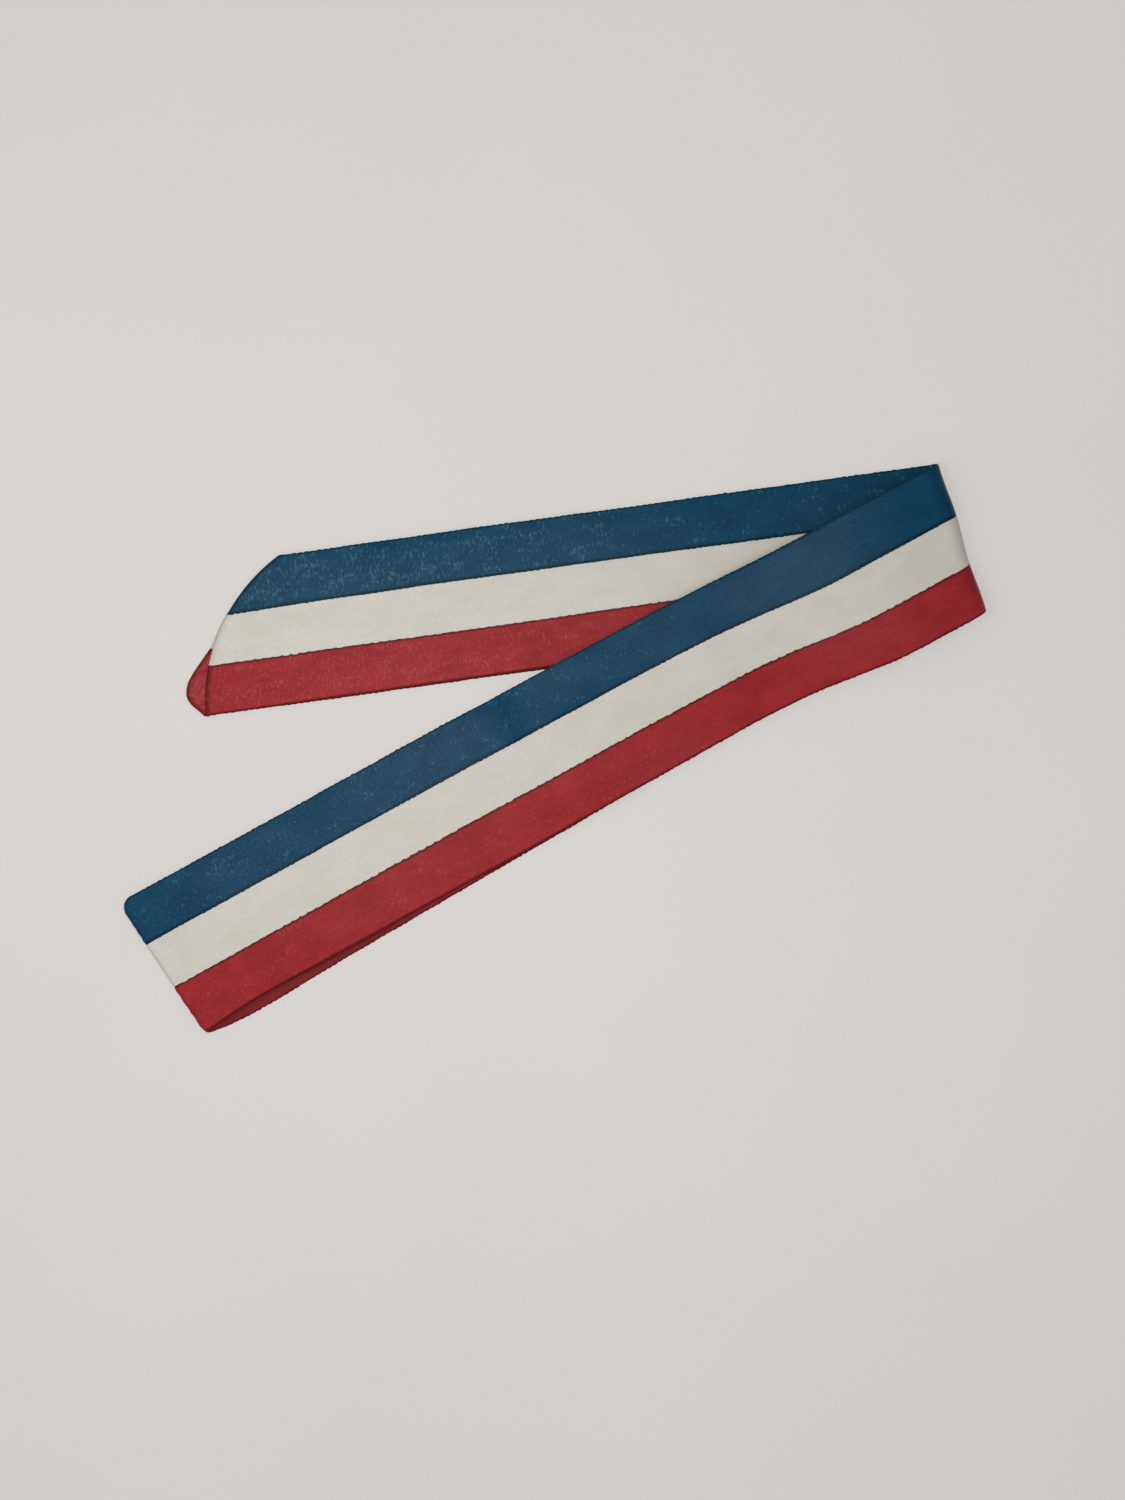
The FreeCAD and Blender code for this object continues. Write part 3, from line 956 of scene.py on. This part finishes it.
def look_down():
    """The photograph looks straight down, with the picture's upright along Y."""
    low, high = cad_box
    middle = (low + high) / 2
    data = bpy.data.cameras.new("camera")
    data.lens = CAMERA_LENS
    data.sensor_width = SENSOR_HEIGHT
    data.clip_end = 20.0
    camera = bpy.data.objects.new("camera", data)
    camera.location = (
        middle.x + FRAME_OFFSET[0],
        middle.y + FRAME_OFFSET[1],
        FRAME_HEIGHT * CAMERA_LENS / SENSOR_HEIGHT,
    )
    bpy.context.scene.collection.objects.link(camera)
    bpy.context.scene.camera = camera


def area_light(name, place, size, power, colour, gleams):
    """A round light that shines straight down. Only one that gleams shows in the cloth's gloss."""
    data = bpy.data.lights.new(name, "AREA")
    data.shape = "DISK"
    data.size = size
    data.energy = power
    data.color = colour
    light = bpy.data.objects.new(name, data)
    light.location = place
    light.visible_camera = False
    light.visible_glossy = gleams
    bpy.context.scene.collection.objects.link(light)


def light_room():
    """Even light from all round, a wide soft light overhead, and a small one for the gleam."""
    world = bpy.data.worlds.new("room")
    bpy.context.scene.world = world
    world.use_nodes = True
    background = world.node_tree.nodes["Background"]
    background.inputs["Color"].default_value = rgb(*ROOM_COLOUR)
    background.inputs["Strength"].default_value = ROOM_STRENGTH
    for light in LIGHTS:
        area_light(*light)


def lay_floor():
    mesh = bpy.data.meshes.new("floor")
    corners = [(-1, -1), (1, -1), (1, 1), (-1, 1)]
    mesh.from_pydata(
        [(x * FLOOR_HALF, y * FLOOR_HALF, FLOOR_HEIGHT) for x, y in corners], [], [(0, 1, 2, 3)]
    )
    mesh.materials.append(floor_material())
    floor = bpy.data.objects.new("floor", mesh)
    bpy.context.scene.collection.objects.link(floor)


# --- The ribbon ---

# In each tape's darker lines, the one at the outer selvedge is partly painted shade; the last
# number is the depth of the painted shade along the seam's turned edge.
MATERIALS = {
    "blue": tape_material(
        "blue_tape", (0.0035, 0.0530, 0.110), (0.0010, 0.0370, 0.082), (0.065, 0.180, 0.240), 0.50,
        [(-HALF_WIDTH, 0.55, 0.55), (-HALF_WIDTH + BAND, 1.05, 0.95)], 0.065, 0.9,
    ),
    "white": tape_material(
        "white_tape", (0.602, 0.582, 0.532), (0.550, 0.526, 0.474), (0.66, 0.64, 0.60), 0.4,
        [(-HALF_WIDTH + BAND, 0.22, 0.25), (HALF_WIDTH - BAND, 0.2, 0.2)], 0.05, 0.22,
    ),
    "red": tape_material(
        "red_tape", (0.335, 0.0250, 0.0275), (0.250, 0.0170, 0.0195), (0.50, 0.095, 0.095), 0.34,
        [(HALF_WIDTH, 0.75, 0.85), (HALF_WIDTH - BAND, 0.85, 0.85)], 0.045, 0.9,
    ),
}


def build_ribbon(tape):
    """Three pieces for each band: the two legs, and the fold that bends between them."""
    ranges = tape[3]
    for band, columns in BANDS.items():
        material = MATERIALS[band]
        rear = tape_piece(
            f"rear_tape_{band}", tape,
            [
                (ranges["rear_lower"][0], ranges["fold_outer"][0] - LEG_SHARE),
                (ranges["fold_inner"][1] + LEG_SHARE, ranges["rear_upper"][1]),
            ],
            columns, material,
        )
        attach(rear, "rear_leg")
        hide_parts(f"rear_lower_{band}", f"rear_upper_{band}")

        front = tape_piece(
            f"front_tape_{band}", tape,
            [(ranges["front_upper"][0] + LEG_SHARE, ranges["front_lower"][1] - LEG_SHARE)],
            columns, material,
        )
        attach(front, "front_leg")
        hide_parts(f"front_lower_{band}", f"front_upper_{band}", f"end_bend_{band}")

        fold = tape_piece(
            f"fold_tape_{band}", tape,
            [
                (ranges["fold_outer"][0] - LEG_SHARE, ranges["front_upper"][0] + LEG_SHARE),
                (ranges["front_lower"][1] - LEG_SHARE, ranges["fold_inner"][1] + LEG_SHARE),
            ],
            columns, material,
        )
        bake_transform(fold)
        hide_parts(f"fold_outer_{band}", f"fold_inner_{band}")


def build_turned_ends(tape):
    """The cut ends, turned in at the seam. Each shows all three bands."""
    _, runs, _, ranges = tape
    spans = {
        "lower": (ranges["turned_lower"][0], ranges["rear_lower"][0]),
        "upper": (ranges["rear_upper"][1], ranges["turned_upper"][1]),
    }
    for which, span in spans.items():
        every_column = slice(0, len(ACROSS))
        piece = tape_piece(f"turned_end_{which}", tape, [span], every_column, MATERIALS["blue"])
        mesh = piece.data
        mesh.materials.append(MATERIALS["white"])
        mesh.materials.append(MATERIALS["red"])
        uv = np.empty(len(mesh.loops) * 2, np.float32)
        mesh.uv_layers["weave"].data.foreach_get("uv", uv)
        middle = uv.reshape(-1, 4, 2)[:, :, 1].mean(axis=1)
        bands = np.digitize(middle, LINE_PLACES[1:3])
        mesh.polygons.foreach_set("material_index", bands.astype(np.int32))

        # The painted shade along the turned edge: a darker line where the tape turns over.
        turn = FLAT_ROWS + TURN_ROWS // 2
        turn_row = span[1] - turn if which == "lower" else span[0] + turn
        run, across = uv.reshape(-1, 2).T
        from_rim = np.abs(run - np.interp(across, ACROSS, runs[turn_row]))
        rim_shade_share = 1 - np.clip(from_rim / RIM_SHADE_REACH, 0, 1)
        rim_shade_values = mesh.attributes.new("rim", "FLOAT", "CORNER").data
        rim_shade_values.foreach_set("value", rim_shade_share.astype(np.float32))
        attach(piece, "rear_leg")
        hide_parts(f"seam_allowance_{which}")


def build_threads():
    """The needle thread over the turned ends and the bobbin thread under them."""
    material = thread_material()
    radius = THREAD_RADIUS
    under_flaps = THICKNESS + THREAD_SLACK + THREAD_THICKNESS / 2
    over_flaps = FLAP_UPPER + THICKNESS / 2 + THREAD_THICKNESS / 2
    meeting = (FLAP_LOWER + FLAP_UPPER) / 2
    for name, surface, reach, bow in (
        ("needle_thread", over_flaps, meeting + radius, STITCH_BOW),
        ("bobbin_thread", under_flaps, meeting - radius, -STITCH_BOW),
    ):
        piece = thread_piece(name, thread_path(surface, reach, bow), radius, material)
        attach(piece, "rear_leg")
        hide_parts(f"seam_{name}")


bpy.context.scene.view_settings.view_transform = "Standard"
look_down()
light_room()
lay_floor()
whole = joined(whole_tape())
build_ribbon(whole)
build_turned_ends(whole)
build_threads()

bpy.context.view_layer.update()
